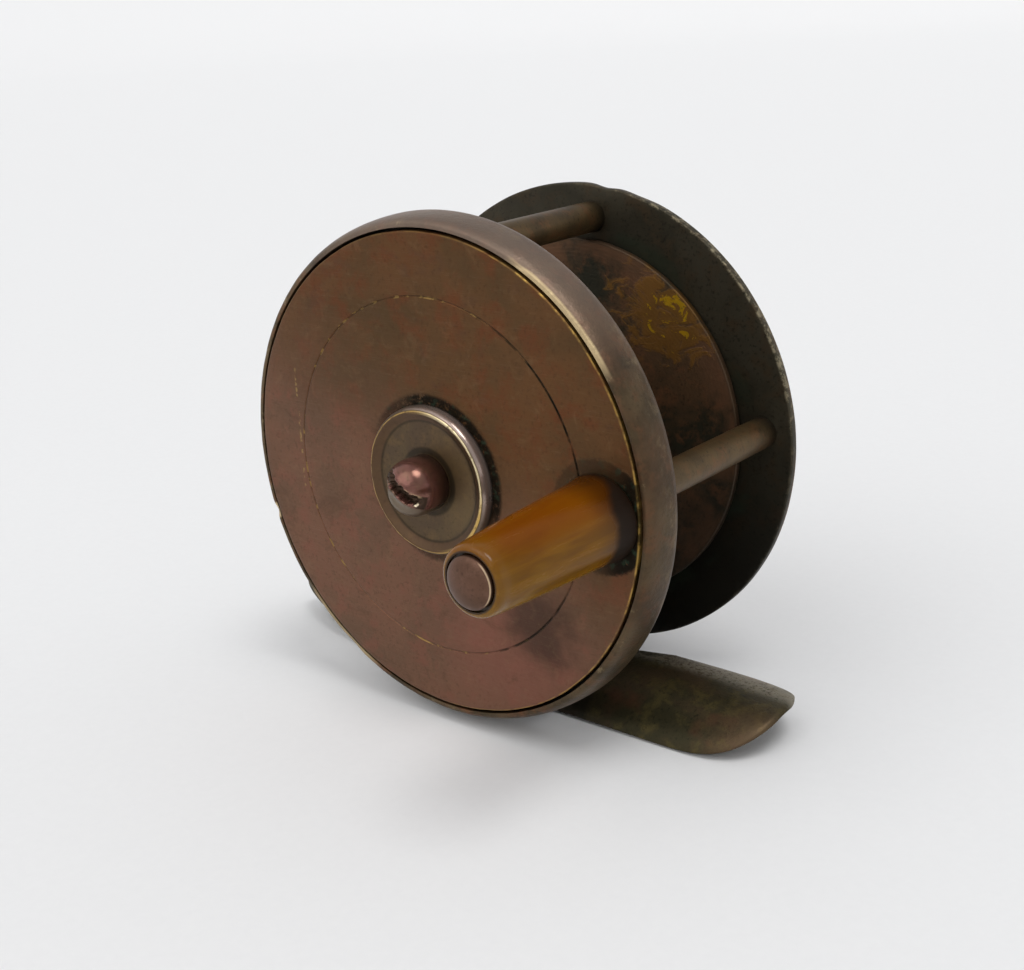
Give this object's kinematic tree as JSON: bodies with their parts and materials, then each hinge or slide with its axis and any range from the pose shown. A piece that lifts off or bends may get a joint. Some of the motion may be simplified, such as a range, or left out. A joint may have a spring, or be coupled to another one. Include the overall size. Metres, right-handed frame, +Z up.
{
  "type": "fly reel",
  "caption": "Brass plate-wind fly reel with a turning front plate, tapered horn handle, pillared frame, curved rod foot and a click check under a rear housing.",
  "frame": {"origin": "on the rod's axis, under the middle of the reel, so that a rod laid along X through the origin fits the foot's hollow seat", "axes": "+X along the rod and foot, +Y along the spindle from the winding plate to the click housing, +Z up from the rod to the spindle"},
  "size_m": [0.0901, 0.0672, 0.0712],
  "materials": {
    "plate_bronze": "dark mottled patina, reddish brown",
    "frame_bronze": "dark olive-brown patina, rubbed bright on the edges",
    "back_bronze": "near-black olive patina",
    "spool_bronze": "brown patina with yellow scuffs",
    "foot_bronze": "dark olive patina",
    "boss_brass": "olive-brown with a bright worn rim",
    "screw_bronze": "reddish brown, rubbed on the dome",
    "steel": "dull, lightly spotted",
    "horn": "amber horn, worn satin"
  },
  "bodies": {
    "frame": {"front_plate": "frame_bronze", "back_plate": "back_bronze", "pillar_top": "frame_bronze", "pillar_handle_side": "frame_bronze", "pillar_far_side": "frame_bronze", "foot_pillar_right": "frame_bronze", "foot_pillar_left": "frame_bronze", "pillar_screws": "screw_bronze", "front_bush": "boss_brass", "rear_bush": "boss_brass", "foot": "foot_bronze", "foot_screws": "screw_bronze", "pawl_stud": "steel", "check_spring": "steel", "spring_post": "steel", "check_housing": "back_bronze", "housing_screws": "screw_bronze"},
    "spool": {"spindle": "steel", "drum_pin": "steel", "spool_drum": "spool_bronze", "front_flange": "spool_bronze", "rear_flange": "spool_bronze", "winding_plate": "plate_bronze", "plate_boss": "boss_brass", "locking_screw": "screw_bronze", "handle_pin": "steel", "handle_cap": "screw_bronze", "ratchet_wheel": "steel", "ratchet_nut": "boss_brass"},
    "grip": {"handle_grip": "horn"},
    "pawl": {"check_pawl": "steel"}
  },
  "joints": [
    {"name": "spool_turn", "type": "hinge", "parent": "frame", "child": "spool", "pos_m": [0, 0, 0.0416], "axis": [0, 1, 0], "continuous": true},
    {"name": "grip_spin", "type": "hinge", "parent": "spool", "child": "grip", "pos_m": [0.0273, -0.03, 0.04141], "axis": [0, 1, 0], "continuous": true},
    {"name": "pawl_click", "type": "hinge", "parent": "frame", "child": "pawl", "pos_m": [0, 0.01715, 0.05255], "axis": [0, 1, 0], "range_deg": [-25.5, 25.5], "stiffness_Nm_per_rad": 0.005}
  ]
}
